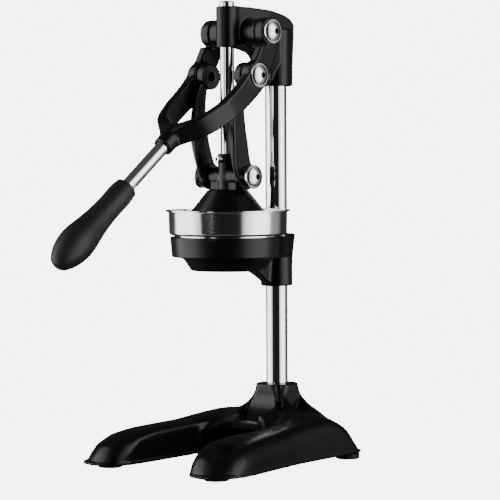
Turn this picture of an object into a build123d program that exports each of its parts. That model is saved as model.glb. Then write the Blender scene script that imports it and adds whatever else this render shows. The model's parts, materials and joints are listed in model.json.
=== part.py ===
from build123d import *
import os
from math import cos, radians, sin

os.makedirs("parts", exist_ok=True)

# Citrus press, free-standing, all sizes in millimetres.
# X runs across the press, -Y to the front (the side of the handle), +Z up.
# The origin lies on the table under the middle of the press's bounding box.

# --- Main layout -------------------------------------------------------------------------------
HEIGHT = 420.0  # table to the top of the press rod's cap, with the press down
PRESS_Y = 54.93  # axis of the press rod, cup and juice outlet
COLUMN_Y = PRESS_Y + 67.0  # axis of the column
COLUMN_R = 10.0
ROD_R = 6.5

# --- Lever and links ---------------------------------------------------------------------------
PIVOT_Y, PIVOT_Z = PRESS_Y + 17.9, 391.7  # the yoke's pivot on the head
UPPER_PIN_Y, UPPER_PIN_Z = PRESS_Y - 0.2, 352.0  # yoke to links
LOWER_PIN_Y, LOWER_PIN_Z = PRESS_Y, 261.0  # links to the press cone
ARM_INNER, ARM_OUTER = 29.7, 38.2  # faces of each yoke arm, from the middle plane
ARM_BOSS_INNER, ARM_BOSS_R = 28.0, 12.8  # bosses that stand inwards from the arms
LINK_INNER, LINK_OUTER = 18.4, 27.0
LINK_FOOT_OUTER = 24.2  # the link is thinner at the lower pin
LINK_EYE_R = 12.0
HANDLE_ANGLE = 37.3  # below the horizontal, with the press down
HUB_Y, HUB_Z = PRESS_Y - 68.0, 301.0  # top end of the yoke's hub, on the handle's axis
HUB_R, HUB_LENGTH = 9.4, 21.5
HANDLE_R = 6.25
HANDLE_FREE = 58.5  # bare rod between hub and grip
GRIP_LENGTH = 104.5

# --- Screws, washers and bushes -----------------------------------------------------------------
SCREW_R, SCREW_HEAD_R, SCREW_HEAD_HEIGHT = 4.0, 8.6, 4.2
HEX_SOCKET_R, HEX_SOCKET_DEPTH = 2.6, 2.4
WASHER_R, WASHER_THICKNESS = 10.8, 1.7
WASHER_GROOVE_R, WASHER_GROOVE_DEPTH = 9.8, 0.8  # the washer's rim stands up outside this
RUNNING_CLEARANCE = 0.05
FACE_GAP = 0.3  # between the side faces of parts that turn on each other

# --- Bowl, cup and press cone -------------------------------------------------------------------
RING_TOP, RING_STEP, FUNNEL_BOTTOM = 207.0, 188.7, 176.0
RING_R, FUNNEL_R = 52.8, 33.6
OUTLET_R = 8.0
SLEEVE_BOTTOM, SLEEVE_TOP = 159.0, 207.2
CUP_RIM_R, CUP_R, CUP_RIM_Z, CUP_SHOULDER_Z = 56.6, 53.6, 231.0, 208.6
CUP_LOWER_R, CUP_FLOOR_Z, CUP_WALL = 48.2, 192.0, 1.2
CONE_BOSS_R, CONE_BOSS_TOP, CONE_TOP = 9.0, 282.0, 249.0

# --- Head and base ------------------------------------------------------------------------------
HEAD_TOP, HEAD_UNDERSIDE, HEAD_BOTTOM = 415.0, 378.0, 344.0
HEAD_HALF_WIDTH, HEAD_FRONT_HALF_WIDTH = 12.3, 9.2
BOSS_R = 9.8
PIVOT_BOSS_R = 12.0
POST_TOP, POST_R = 67.8, 19.4
LIP_Z = 3.0  # underside of the casting's rim above the table
FOOT_R, FOOT_HEIGHT = 11.0, 5.0
FOOT_X = 65.0
FOOT_FRONT_Y, FOOT_REAR_Y = PRESS_Y - 88.0, PRESS_Y + 91.0

SIDES = {"left": -1, "right": 1}  # left is -X, right is +X


def write(name, part):
    """Labels a finished piece and writes it as one STEP file."""
    part.label = name
    export_step(part, f"parts/{name}.step")


def across(x, y, z, side=1):
    """A plane at (x, y, z) whose normal points outwards along X on the given side."""
    return Plane(origin=(side * x, y, z), x_dir=(0, 1, 0), z_dir=(side, 0, 0))


# === Base casting ===============================================================================
# Each leg is a loft of shoe-like sections. Values: distance in front of the press axis,
# inner edge, outer edge and height.
LEG_SECTIONS = (
    (-112.0, 57.0, 75.0, 8.0),
    (-107.0, 49.0, 83.5, 15.5),
    (-94.0, 42.0, 89.0, 24.5),
    (-72.0, 39.5, 90.0, 31.3),
    (-40.0, 40.0, 86.0, 33.8),
    (0.0, 40.0, 80.5, 35.5),
    (34.0, 41.0, 78.0, 38.8),
    (60.0, 44.0, 76.5, 39.5),
    (84.0, 49.0, 75.5, 27.5),
    (100.0, 54.0, 73.5, 14.5),
    (107.0, 58.0, 71.0, 8.0),
)
CASTING_WALL = 5.5
HOLLOW_FROM, HOLLOW_TO = 3, 8  # sections between which the leg is hollow underneath


def leg_section(y, inner, outer, height):
    """One rounded section of a leg, at a distance y in front of or behind the press axis."""
    width, rise = outer - inner, height - LIP_Z
    with BuildSketch(Plane.XZ.offset(-(PRESS_Y + y))) as section:
        with BuildLine():
            top = Spline(
                (inner, LIP_Z),
                (inner + 0.05 * width, LIP_Z + 0.62 * rise),
                (inner + 0.24 * width, LIP_Z + 0.93 * rise),
                (inner + 0.50 * width, height),
                (inner + 0.82 * width, LIP_Z + 0.80 * rise),
                (outer, LIP_Z),
            )
            Line(top @ 1, top @ 0)
        make_face()
    return section.sketch


with BuildPart() as leg:
    loft([leg_section(*values) for values in LEG_SECTIONS])

# The same shape inside the walls, lowered so that it opens the leg underneath.
with BuildPart() as leg_hollow:
    loft([
        leg_section(y, inner + CASTING_WALL, outer - CASTING_WALL, height)
        for y, inner, outer, height in LEG_SECTIONS[HOLLOW_FROM:HOLLOW_TO]
    ])

# The bridge between the legs rises to the column's post as one flared surface of revolution.
BRIDGE_FRONT_R, BRIDGE_FRONT_CENTRE = 36.0, PRESS_Y - 8.0
BRIDGE_REAR_Y = PRESS_Y + 99.0
FLARE = (
    (20.8, 61.0), (25.0, 54.0), (31.0, 48.0), (41.0, 42.5), (52.0, 36.5), (62.0, 29.0), (70.0, 20.0),
)

with BuildPart() as bridge:
    with BuildSketch(Plane.YZ):
        with BuildLine():
            flare = Spline(
                (COLUMN_Y + POST_R, POST_TOP), *[(COLUMN_Y + r, z) for r, z in FLARE]
            )
            Polyline(
                flare @ 1, (COLUMN_Y + FLARE[-1][0], LIP_Z + 3), (COLUMN_Y, LIP_Z + 3),
                (COLUMN_Y, POST_TOP), flare @ 0,
            )
        make_face()
    revolve(axis=Axis((0, COLUMN_Y, 0), (0, 0, 1)))
    with BuildSketch(Plane.XY):
        with BuildLine():
            Polyline(
                (60, BRIDGE_REAR_Y - 8), (60, PRESS_Y), (-60, PRESS_Y), (-60, BRIDGE_REAR_Y - 8)
            )
            ThreePointArc(
                (-60, BRIDGE_REAR_Y - 8), (0, BRIDGE_REAR_Y), (60, BRIDGE_REAR_Y - 8)
            )
        make_face()
        with Locations((0, BRIDGE_FRONT_CENTRE)):
            Circle(BRIDGE_FRONT_R, mode=Mode.SUBTRACT)
    extrude(amount=HEIGHT, mode=Mode.INTERSECT)

# The front of the post is a flat pad that runs out into a scoop; its sides have shallow pads,
# and a gutter runs down between each two of them.
SCOOP_HALF_WIDTH = 15.7
PAD_X, PAD_HALF_WIDTH, PAD_BOTTOM = 18.6, 10.5, 43.0
GUTTER = ((17.8, 60.0), (20.5, 52.0), (27.0, 46.8), (38.0, 44.5))
GUTTER_HALF_WIDTH = 2.4
ARCH_TOP = 27.0  # ceiling of the open arch under the bridge
ARCH_HALF_WIDTH = 39.5
POST_CORE_R = 17.0  # solid core under the post that takes the column's bolt
COLUMN_FOOT_Z = 22.0  # lower end of the column, inside the post
BOLT_R, BOLT_HEAD_R, BOLT_HEAD_HEIGHT, BOLT_WASHER_R, BOLT_WASHER_T = 5.0, 8.5, 6.0, 12.0, 2.0
BOLT_FACE_Z = 14.0  # seat of the bolt's washer

with BuildPart() as base_casting:
    add(bridge.part)
    add(leg.part)
    add(mirror(leg.part, about=Plane.YZ, mode=Mode.PRIVATE))
    # Front scoop
    with BuildSketch(Plane.YZ):
        with BuildLine():
            scoop = Spline(
                (COLUMN_Y - 17.6, POST_TOP + 1), (COLUMN_Y - 18.0, 55), (COLUMN_Y - 22.5, 46),
                (COLUMN_Y - 33.0, 38.5), (COLUMN_Y - 48.0, 33.5),
            )
            Polyline(
                scoop @ 1, (COLUMN_Y - 60.0, 33.5), (COLUMN_Y - 60.0, POST_TOP + 1), scoop @ 0
            )
        make_face()
    extrude(amount=SCOOP_HALF_WIDTH, both=True, mode=Mode.SUBTRACT)
    # Side pads
    for side in SIDES.values():
        with BuildSketch(across(PAD_X, COLUMN_Y, 0, side)):
            with BuildLine():
                # The sketch's own Y runs up on the right side and down on the left.
                up = side
                pad = Polyline(
                    (-PAD_HALF_WIDTH, up * (PAD_BOTTOM + PAD_HALF_WIDTH)),
                    (-PAD_HALF_WIDTH, up * (POST_TOP + 1)),
                    (PAD_HALF_WIDTH, up * (POST_TOP + 1)),
                    (PAD_HALF_WIDTH, up * (PAD_BOTTOM + PAD_HALF_WIDTH)),
                )
                ThreePointArc(pad @ 1, (0, up * PAD_BOTTOM), pad @ 0)
            make_face()
        extrude(amount=20, mode=Mode.SUBTRACT)
    # Gutters
    for angle in (45, 135, 225, 315):
        turned = Axis((0, COLUMN_Y, 0), (0, 0, 1))
        with BuildSketch(Plane.YZ, mode=Mode.PRIVATE) as gutter:
            with BuildLine():
                floor = Spline((COLUMN_Y + 17.6, POST_TOP + 1), *[(COLUMN_Y + r, z) for r, z in GUTTER])
                Polyline(floor @ 1, (COLUMN_Y + 38.0, POST_TOP + 1), floor @ 0)
            make_face()
        cutter = extrude(gutter.sketch, amount=GUTTER_HALF_WIDTH, both=True, mode=Mode.PRIVATE)
        add(cutter.rotate(turned, angle), mode=Mode.SUBTRACT)
    # Underside: hollow legs and an open arch between them
    with Locations((0, 0, -CASTING_WALL)):
        add(leg_hollow.part, mode=Mode.SUBTRACT)
        add(mirror(leg_hollow.part, about=Plane.YZ, mode=Mode.PRIVATE), mode=Mode.SUBTRACT)
    with BuildSketch(Plane.XY):
        with BuildLine():
            Polyline(
                (-ARCH_HALF_WIDTH, PRESS_Y - 20), (ARCH_HALF_WIDTH, PRESS_Y - 20),
                (ARCH_HALF_WIDTH, BRIDGE_REAR_Y - 13), (-ARCH_HALF_WIDTH, BRIDGE_REAR_Y - 13),
                close=True,
            )
        make_face()
        with Locations((0, COLUMN_Y)):
            Circle(POST_CORE_R, mode=Mode.SUBTRACT)
    extrude(amount=ARCH_TOP, mode=Mode.SUBTRACT)
    # Column socket, bolt hole and seats of the feet
    with Locations((0, COLUMN_Y, COLUMN_FOOT_Z)):
        Cylinder(COLUMN_R + 0.02, HEIGHT, align=(Align.CENTER, Align.CENTER, Align.MIN), mode=Mode.SUBTRACT)
    with Locations((0, COLUMN_Y, 0)):
        Cylinder(BOLT_R + 0.5, HEIGHT, align=(Align.CENTER, Align.CENTER, Align.MIN), mode=Mode.SUBTRACT)
        Cylinder(
            BOLT_WASHER_R + 0.5, BOLT_FACE_Z, align=(Align.CENTER, Align.CENTER, Align.MIN),
            mode=Mode.SUBTRACT,
        )
    for x in (-FOOT_X, FOOT_X):
        for y in (FOOT_FRONT_Y, FOOT_REAR_Y):
            with Locations((x, y, FOOT_HEIGHT)):
                Cylinder(
                    FOOT_R + 0.05, 10, align=(Align.CENTER, Align.CENTER, Align.MAX), mode=Mode.SUBTRACT
                )
write("base_casting", base_casting.part)

# === Rubber feet ================================================================================
for x, side_name in ((-FOOT_X, "left"), (FOOT_X, "right")):
    for y, end_name in ((FOOT_FRONT_Y, "front"), (FOOT_REAR_Y, "rear")):
        with BuildPart(Plane((x, y, 0))) as foot:
            Cylinder(FOOT_R, FOOT_HEIGHT, align=(Align.CENTER, Align.CENTER, Align.MIN))
            chamfer(foot.faces().sort_by(Axis.Z)[0].edges(), 0.6)
        write(f"foot_{end_name}_{side_name}", foot.part)

# === Column =====================================================================================
COLUMN_WALL = 2.0
COLUMN_TOP = 404.0
with BuildPart(Plane((0, COLUMN_Y, COLUMN_FOOT_Z))) as column_tube:
    Cylinder(COLUMN_R, COLUMN_TOP - COLUMN_FOOT_Z, align=(Align.CENTER, Align.CENTER, Align.MIN))
    Cylinder(
        COLUMN_R - COLUMN_WALL, HEIGHT, align=(Align.CENTER, Align.CENTER, Align.MIN), mode=Mode.SUBTRACT
    )
write("column_tube", column_tube.part)

# Threaded plug fixed in the tube's lower end, which takes the bolt.
PLUG_HEIGHT = 20.0
with BuildPart(Plane((0, COLUMN_Y, COLUMN_FOOT_Z))) as column_plug:
    Cylinder(
        COLUMN_R - COLUMN_WALL - 0.01, PLUG_HEIGHT, align=(Align.CENTER, Align.CENTER, Align.MIN)
    )
    Cylinder(BOLT_R + 0.02, HEIGHT, align=(Align.CENTER, Align.CENTER, Align.MIN), mode=Mode.SUBTRACT)
write("column_plug", column_plug.part)

with BuildPart(Plane((0, COLUMN_Y, BOLT_FACE_Z))) as column_washer:
    Cylinder(BOLT_WASHER_R, BOLT_WASHER_T, align=(Align.CENTER, Align.CENTER, Align.MAX))
    Cylinder(BOLT_R + 0.3, 20, mode=Mode.SUBTRACT)
write("column_washer", column_washer.part)

with BuildPart() as column_bolt:
    with BuildSketch(Plane((0, COLUMN_Y, BOLT_FACE_Z - BOLT_WASHER_T - BOLT_HEAD_HEIGHT))):
        RegularPolygon(BOLT_HEAD_R, 6)
    extrude(amount=BOLT_HEAD_HEIGHT)
    with BuildSketch(Plane((0, COLUMN_Y, BOLT_FACE_Z - BOLT_WASHER_T))):
        Circle(BOLT_R)
    extrude(amount=COLUMN_FOOT_Z + PLUG_HEIGHT - 2 - (BOLT_FACE_Z - BOLT_WASHER_T))
write("column_bolt", column_bolt.part)

# === Head casting ===============================================================================
SOCKET_R_BOTTOM, SOCKET_R_TOP, SOCKET_HEIGHT = 13.7, 14.4, 52.0
GUIDE_BUSH_R, GUIDE_BUSH_LENGTH = 8.2, 8.0
HEAD_SCREW_Z = 360.0
with BuildPart() as head_casting:
    # Arm and gusset, in side view
    with BuildSketch(Plane.YZ):
        with BuildLine():
            top = Polyline((PRESS_Y, HEAD_TOP), (PRESS_Y + 20.0, HEAD_TOP))
            rear = Spline(
                top @ 1, (PRESS_Y + 48.5, HEAD_TOP - 1.9), (PRESS_Y + 66.4, HEAD_TOP - 5.6),
                (PRESS_Y + 75.4, HEAD_TOP - 9.4), (COLUMN_Y + 13.6, HEAD_TOP - 14.5),
                tangents=((1, 0), (0.6, -1)),
            )
            under = Polyline(
                rear @ 1, (COLUMN_Y + 12.6, HEAD_BOTTOM + 40), (COLUMN_Y + 11.4, HEAD_BOTTOM + 20),
                (COLUMN_Y + 10.8, HEAD_BOTTOM), (COLUMN_Y - 13.2, HEAD_BOTTOM),
            )
            gusset = Spline(
                under @ 1, (PRESS_Y + 50.5, HEAD_BOTTOM + 13.0), (PRESS_Y + 41.2, HEAD_BOTTOM + 27.6),
                (PRESS_Y + 28.4, HEAD_BOTTOM + 32.2), (PRESS_Y + 18.0, HEAD_UNDERSIDE),
                tangents=((0, 1), (-1, 0)),
            )
            Polyline(gusset @ 1, (PRESS_Y, HEAD_UNDERSIDE), top @ 0)
        make_face()
    extrude(amount=HEAD_HALF_WIDTH, both=True)
    # The arm narrows to the guide boss
    with BuildSketch(Plane.XY):
        Polygon(
            (HEAD_FRONT_HALF_WIDTH, PRESS_Y), (HEAD_HALF_WIDTH, PRESS_Y + 45),
            (HEAD_HALF_WIDTH, COLUMN_Y + 30), (-HEAD_HALF_WIDTH, COLUMN_Y + 30),
            (-HEAD_HALF_WIDTH, PRESS_Y + 45), (-HEAD_FRONT_HALF_WIDTH, PRESS_Y), align=None,
        )
    extrude(amount=2 * HEIGHT, mode=Mode.INTERSECT)
    # In front of the socket the gusset tapers downwards
    for side in SIDES.values():
        with BuildSketch(Plane.XZ.offset(-PRESS_Y)):
            Polygon(
                (side * 4.7, HEAD_BOTTOM), (side * HEAD_HALF_WIDTH, HEAD_BOTTOM + 22.6),
                (side * 20, HEAD_BOTTOM + 22.6), (side * 20, HEAD_BOTTOM - 1),
                (side * 4.7, HEAD_BOTTOM - 1), align=None,
            )
        extrude(amount=-(COLUMN_Y - PRESS_Y - 6.1), mode=Mode.SUBTRACT)
    # Socket on the column
    with Locations((0, COLUMN_Y, HEAD_BOTTOM)):
        Cone(
            SOCKET_R_BOTTOM, SOCKET_R_TOP, SOCKET_HEIGHT, align=(Align.CENTER, Align.CENTER, Align.MIN)
        )
    # Guide boss of the press rod
    with Locations((0, PRESS_Y, HEAD_UNDERSIDE)):
        Cylinder(BOSS_R, HEAD_TOP - HEAD_UNDERSIDE, align=(Align.CENTER, Align.CENTER, Align.MIN))
    # Side bosses that carry the yoke
    with BuildSketch(across(0, PIVOT_Y, PIVOT_Z)):
        Circle(PIVOT_BOSS_R)
    extrude(amount=ARM_BOSS_INNER - FACE_GAP, both=True)
    # Bores
    with Locations((0, PRESS_Y, HEAD_UNDERSIDE)):
        Cylinder(ROD_R + 0.4, 200, mode=Mode.SUBTRACT)
    for z, direction in ((HEAD_TOP, Align.MAX), (HEAD_UNDERSIDE, Align.MIN)):
        with Locations((0, PRESS_Y, z)):
            Cylinder(
                GUIDE_BUSH_R, GUIDE_BUSH_LENGTH, align=(Align.CENTER, Align.CENTER, direction),
                mode=Mode.SUBTRACT,
            )
    with Locations((0, COLUMN_Y, HEAD_BOTTOM - 1)):
        Cylinder(
            COLUMN_R + 0.02, COLUMN_TOP - HEAD_BOTTOM + 1, align=(Align.CENTER, Align.CENTER, Align.MIN),
            mode=Mode.SUBTRACT,
        )
    with BuildSketch(across(0, PIVOT_Y, PIVOT_Z)):
        Circle(SCREW_R + 0.02)
    extrude(amount=ARM_INNER + 1, both=True, mode=Mode.SUBTRACT)
    # Set screw hole at the rear
    with BuildSketch(Plane((0, COLUMN_Y + 30, HEAD_SCREW_Z), x_dir=(1, 0, 0), z_dir=(0, -1, 0))):
        Circle(3.02)
    extrude(amount=30 - COLUMN_R, mode=Mode.SUBTRACT)
write("head_casting", head_casting.part)

# Headless set screw that clamps the head on the column.
with BuildPart() as head_set_screw:
    with BuildSketch(
        Plane((0, COLUMN_Y + COLUMN_R + 0.1, HEAD_SCREW_Z), x_dir=(1, 0, 0), z_dir=(0, 1, 0))
    ):
        Circle(3.0)
    extrude(amount=5.0)
    with BuildSketch(
        Plane((0, COLUMN_Y + COLUMN_R + 5.1, HEAD_SCREW_Z), x_dir=(1, 0, 0), z_dir=(0, 1, 0))
    ):
        RegularPolygon(1.7, 6)
    extrude(amount=-2.5, mode=Mode.SUBTRACT)
write("head_set_screw", head_set_screw.part)

# Plain bushes pressed into the guide boss, in which the press rod slides.
for name, z, side in (
    ("guide_bush_upper", HEAD_TOP, Align.MAX),
    ("guide_bush_lower", HEAD_UNDERSIDE, Align.MIN),
):
    with BuildPart(Plane((0, PRESS_Y, z))) as guide_bush:
        Cylinder(GUIDE_BUSH_R - 0.01, GUIDE_BUSH_LENGTH, align=(Align.CENTER, Align.CENTER, side))
        Cylinder(ROD_R + RUNNING_CLEARANCE, 40, mode=Mode.SUBTRACT)
    write(name, guide_bush.part)

# === Bowl bracket ===============================================================================
# A cast ring and funnel round the press axis, carried by a sleeve on the column.
RING_INNER_R = 49.2
BRACKET_SCREW_Z = 172.0
SLEEVE_R_BOTTOM, SLEEVE_R_TOP = 14.8, 17.6
WEB_HALF_WIDTH = 5.0
with BuildPart() as bowl_bracket:
    with BuildSketch(Plane.YZ):
        with BuildLine():
            wall = Polyline(
                (PRESS_Y, RING_TOP), (PRESS_Y + RING_R, RING_TOP),
                (PRESS_Y + RING_R - 1.6, RING_STEP), (PRESS_Y + 44.0, RING_STEP - 0.4),
            )
            cove = Spline(
                wall @ 1, (PRESS_Y + 40.5, RING_STEP - 2.7), (PRESS_Y + 36.2, RING_STEP - 8.6),
                (PRESS_Y + FUNNEL_R, FUNNEL_BOTTOM),
            )
            Polyline(cove @ 1, (PRESS_Y, FUNNEL_BOTTOM), wall @ 0)
        make_face()
    revolve(axis=Axis((0, PRESS_Y, 0), (0, 0, 1)))
    # Web between ring and sleeve, wide at the ring
    with BuildSketch(Plane.XY.offset(RING_STEP)):
        with BuildLine():
            Polyline(
                (-50.0, PRESS_Y + 10.0), (50.0, PRESS_Y + 10.0), (40.0, PRESS_Y + 34.0),
                (17.0, COLUMN_Y), (-17.0, COLUMN_Y), (-40.0, PRESS_Y + 34.0), close=True,
            )
        make_face()
    extrude(amount=RING_TOP - RING_STEP - 1.0)
    # Gusset under the web
    with BuildSketch(Plane.YZ):
        with BuildLine():
            gusset = Spline(
                (PRESS_Y + 26.0, FUNNEL_BOTTOM + 2), (PRESS_Y + 40.0, FUNNEL_BOTTOM - 5.0),
                (COLUMN_Y - 13.0, SLEEVE_BOTTOM + 1.0),
            )
            Polyline(
                gusset @ 1, (COLUMN_Y, SLEEVE_BOTTOM + 1.0), (COLUMN_Y, RING_STEP + 2),
                (PRESS_Y + 26.0, RING_STEP + 2), gusset @ 0,
            )
        make_face()
    extrude(amount=WEB_HALF_WIDTH, both=True)
    # Sleeve
    with BuildSketch(Plane.YZ):
        with BuildLine():
            sleeve = Polyline(
                (COLUMN_Y, SLEEVE_BOTTOM), (COLUMN_Y + SLEEVE_R_BOTTOM, SLEEVE_BOTTOM),
                (COLUMN_Y + SLEEVE_R_BOTTOM, RING_STEP - 8),
            )
            flank = Spline(
                sleeve @ 1, (COLUMN_Y + SLEEVE_R_BOTTOM + 1.2, RING_STEP + 6),
                (COLUMN_Y + SLEEVE_R_TOP, SLEEVE_TOP), tangents=((0, 1), (0.2, 1)),
            )
            Polyline(flank @ 1, (COLUMN_Y, SLEEVE_TOP), sleeve @ 0)
        make_face()
    revolve(axis=Axis((0, COLUMN_Y, 0), (0, 0, 1)))
    # Inside of the ring and funnel, and the juice outlet
    with BuildSketch(Plane.YZ):
        with BuildLine():
            Polyline(
                (PRESS_Y, RING_TOP + 10), (PRESS_Y + RING_INNER_R, RING_TOP + 10),
                (PRESS_Y + RING_INNER_R, CUP_FLOOR_Z - 1.6), (PRESS_Y + 42.0, CUP_FLOOR_Z - 1.6),
                (PRESS_Y + 33.0, FUNNEL_BOTTOM + 6.0), (PRESS_Y + OUTLET_R, FUNNEL_BOTTOM + 2.0),
                (PRESS_Y + OUTLET_R, FUNNEL_BOTTOM - 5), (PRESS_Y, FUNNEL_BOTTOM - 5), close=True,
            )
        make_face()
    revolve(axis=Axis((0, PRESS_Y, 0), (0, 0, 1)), mode=Mode.SUBTRACT)
    # Room for the cup above the ring
    with Locations((0, PRESS_Y, RING_TOP)):
        Cylinder(
            CUP_R + 1.0, 20, align=(Align.CENTER, Align.CENTER, Align.MIN), mode=Mode.SUBTRACT
        )
    # Bore for the column and the set screw's hole
    with Locations((0, COLUMN_Y, 0)):
        Cylinder(COLUMN_R + 0.02, 2 * HEIGHT, mode=Mode.SUBTRACT)
    with BuildSketch(Plane((0, COLUMN_Y + 30, BRACKET_SCREW_Z), x_dir=(1, 0, 0), z_dir=(0, -1, 0))):
        Circle(3.02)
    extrude(amount=30 - COLUMN_R, mode=Mode.SUBTRACT)
write("bowl_bracket", bowl_bracket.part)

with BuildPart() as bracket_set_screw:
    with BuildSketch(
        Plane((0, COLUMN_Y + COLUMN_R + 0.1, BRACKET_SCREW_Z), x_dir=(1, 0, 0), z_dir=(0, 1, 0))
    ):
        Circle(3.0)
    extrude(amount=5.0)
    with BuildSketch(
        Plane((0, COLUMN_Y + COLUMN_R + 5.1, BRACKET_SCREW_Z), x_dir=(1, 0, 0), z_dir=(0, 1, 0))
    ):
        RegularPolygon(1.7, 6)
    extrude(amount=-2.5, mode=Mode.SUBTRACT)
write("bracket_set_screw", bracket_set_screw.part)

# === Cup, strainer and reamer ===================================================================
CUP_HOLE_R = 33.0
with BuildPart() as steel_cup:
    with BuildSketch(Plane.YZ):
        with BuildLine():
            outside = Polyline(
                (PRESS_Y + CUP_HOLE_R, CUP_FLOOR_Z - CUP_WALL),
                (PRESS_Y + CUP_LOWER_R, CUP_FLOOR_Z - CUP_WALL),
                (PRESS_Y + CUP_LOWER_R, CUP_SHOULDER_Z - 0.6),
            )
            shoulder = Spline(
                outside @ 1, (PRESS_Y + CUP_R - 1.6, CUP_SHOULDER_Z), (PRESS_Y + CUP_R, CUP_SHOULDER_Z + 2.2),
                tangents=((1, 0), (0.05, 1)),
            )
            rim = Polyline(
                shoulder @ 1, (PRESS_Y + CUP_R + 0.4, CUP_RIM_Z - 2.0),
                (PRESS_Y + CUP_RIM_R, CUP_RIM_Z - 1.2),
                (PRESS_Y + CUP_RIM_R, CUP_RIM_Z), (PRESS_Y + CUP_R - 0.6, CUP_RIM_Z - 0.4),
                (PRESS_Y + CUP_R - CUP_WALL, CUP_SHOULDER_Z + 2.0),
            )
            inner_shoulder = Spline(
                rim @ 1, (PRESS_Y + CUP_R - 2.6, CUP_SHOULDER_Z + 0.9),
                (PRESS_Y + CUP_LOWER_R - CUP_WALL, CUP_SHOULDER_Z - 0.6),
                tangents=((-0.05, -1), (-0.2, -1)),
            )
            Polyline(
                inner_shoulder @ 1, (PRESS_Y + CUP_LOWER_R - CUP_WALL, CUP_FLOOR_Z),
                (PRESS_Y + CUP_HOLE_R, CUP_FLOOR_Z), outside @ 0,
            )
        make_face()
    revolve(axis=Axis((0, PRESS_Y, 0), (0, 0, 1)))
write("steel_cup", steel_cup.part)

# Perforated plate that lies on the cup's floor, with a raised middle under the reamer.
STRAINER_R, STRAINER_T, REAMER_R, REAMER_TOP = 46.4, 1.0, 30.0, 233.0
HOLE_ROWS = ((34.0, 30), (38.0, 34), (42.0, 38))
with BuildPart() as strainer_plate:
    with Locations((0, PRESS_Y, CUP_FLOOR_Z + 0.02)):
        Cylinder(STRAINER_R, STRAINER_T, align=(Align.CENTER, Align.CENTER, Align.MIN))
    for row_r, count in HOLE_ROWS:
        with Locations((0, PRESS_Y, CUP_FLOOR_Z)):
            with PolarLocations(row_r, count):
                Cylinder(1.1, 10, mode=Mode.SUBTRACT)
    with Locations((0, PRESS_Y, CUP_FLOOR_Z)):
        with PolarLocations(18.0, 6):
            Cylinder(5.0, 10, mode=Mode.SUBTRACT)
write("strainer_plate", strainer_plate.part)

# Ribbed cone on which the fruit is pressed.
RIBS = 8
RIB_HALF_THICKNESS = 1.1
with BuildPart() as reamer:
    reamer_foot = CUP_FLOOR_Z + STRAINER_T + 0.04
    with BuildSketch(Plane.YZ):
        with BuildLine():
            flank = Spline(
                (PRESS_Y + REAMER_R - 3, reamer_foot), (PRESS_Y + 21.0, reamer_foot + 15),
                (PRESS_Y + 12.5, reamer_foot + 30), (PRESS_Y + 2.5, REAMER_TOP),
            )
            Polyline(flank @ 1, (PRESS_Y, REAMER_TOP), (PRESS_Y, reamer_foot), flank @ 0)
        make_face()
    revolve(axis=Axis((0, PRESS_Y, 0), (0, 0, 1)))
    for turn in range(RIBS // 2):
        angle = 180.0 * turn * 2 / RIBS
        rib_plane = Plane(
            origin=(0, PRESS_Y, 0), x_dir=(cos(radians(angle)), sin(radians(angle)), 0),
            z_dir=(sin(radians(angle)), -cos(radians(angle)), 0),
        )
        with BuildSketch(rib_plane):
            with BuildLine():
                ridge = Spline(
                    (REAMER_R, reamer_foot), (REAMER_R - 5.5, reamer_foot + 15),
                    (REAMER_R - 14.0, reamer_foot + 30), (2.0, REAMER_TOP),
                )
                Polyline(ridge @ 1, (0, REAMER_TOP), (0, reamer_foot), ridge @ 0)
            make_face()
            mirror(about=Plane.YZ)
        extrude(amount=RIB_HALF_THICKNESS, both=True)
write("reamer", reamer.part)

# === Press rod, cap and press cone ==============================================================
ROD_BOTTOM = 251.0
with BuildPart(Plane((0, PRESS_Y, ROD_BOTTOM))) as press_rod:
    Cylinder(ROD_R, HEAD_TOP - ROD_BOTTOM, align=(Align.CENTER, Align.CENTER, Align.MIN))
    chamfer(press_rod.edges().sort_by(Axis.Z)[0], 0.8)
    with BuildSketch(across(0, LOWER_PIN_Y, LOWER_PIN_Z)):
        Circle(SCREW_R + 0.02)
    extrude(amount=20, both=True, mode=Mode.SUBTRACT)
write("press_rod", press_rod.part)

CAP_R = 6.8
with BuildPart(Plane((0, PRESS_Y, HEAD_TOP + 0.01))) as rod_cap:
    Cylinder(CAP_R, HEIGHT - HEAD_TOP - 0.01, align=(Align.CENTER, Align.CENTER, Align.MIN))
    fillet(rod_cap.edges().sort_by(Axis.Z)[-1], 2.0)
write("rod_cap", rod_cap.part)

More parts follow.
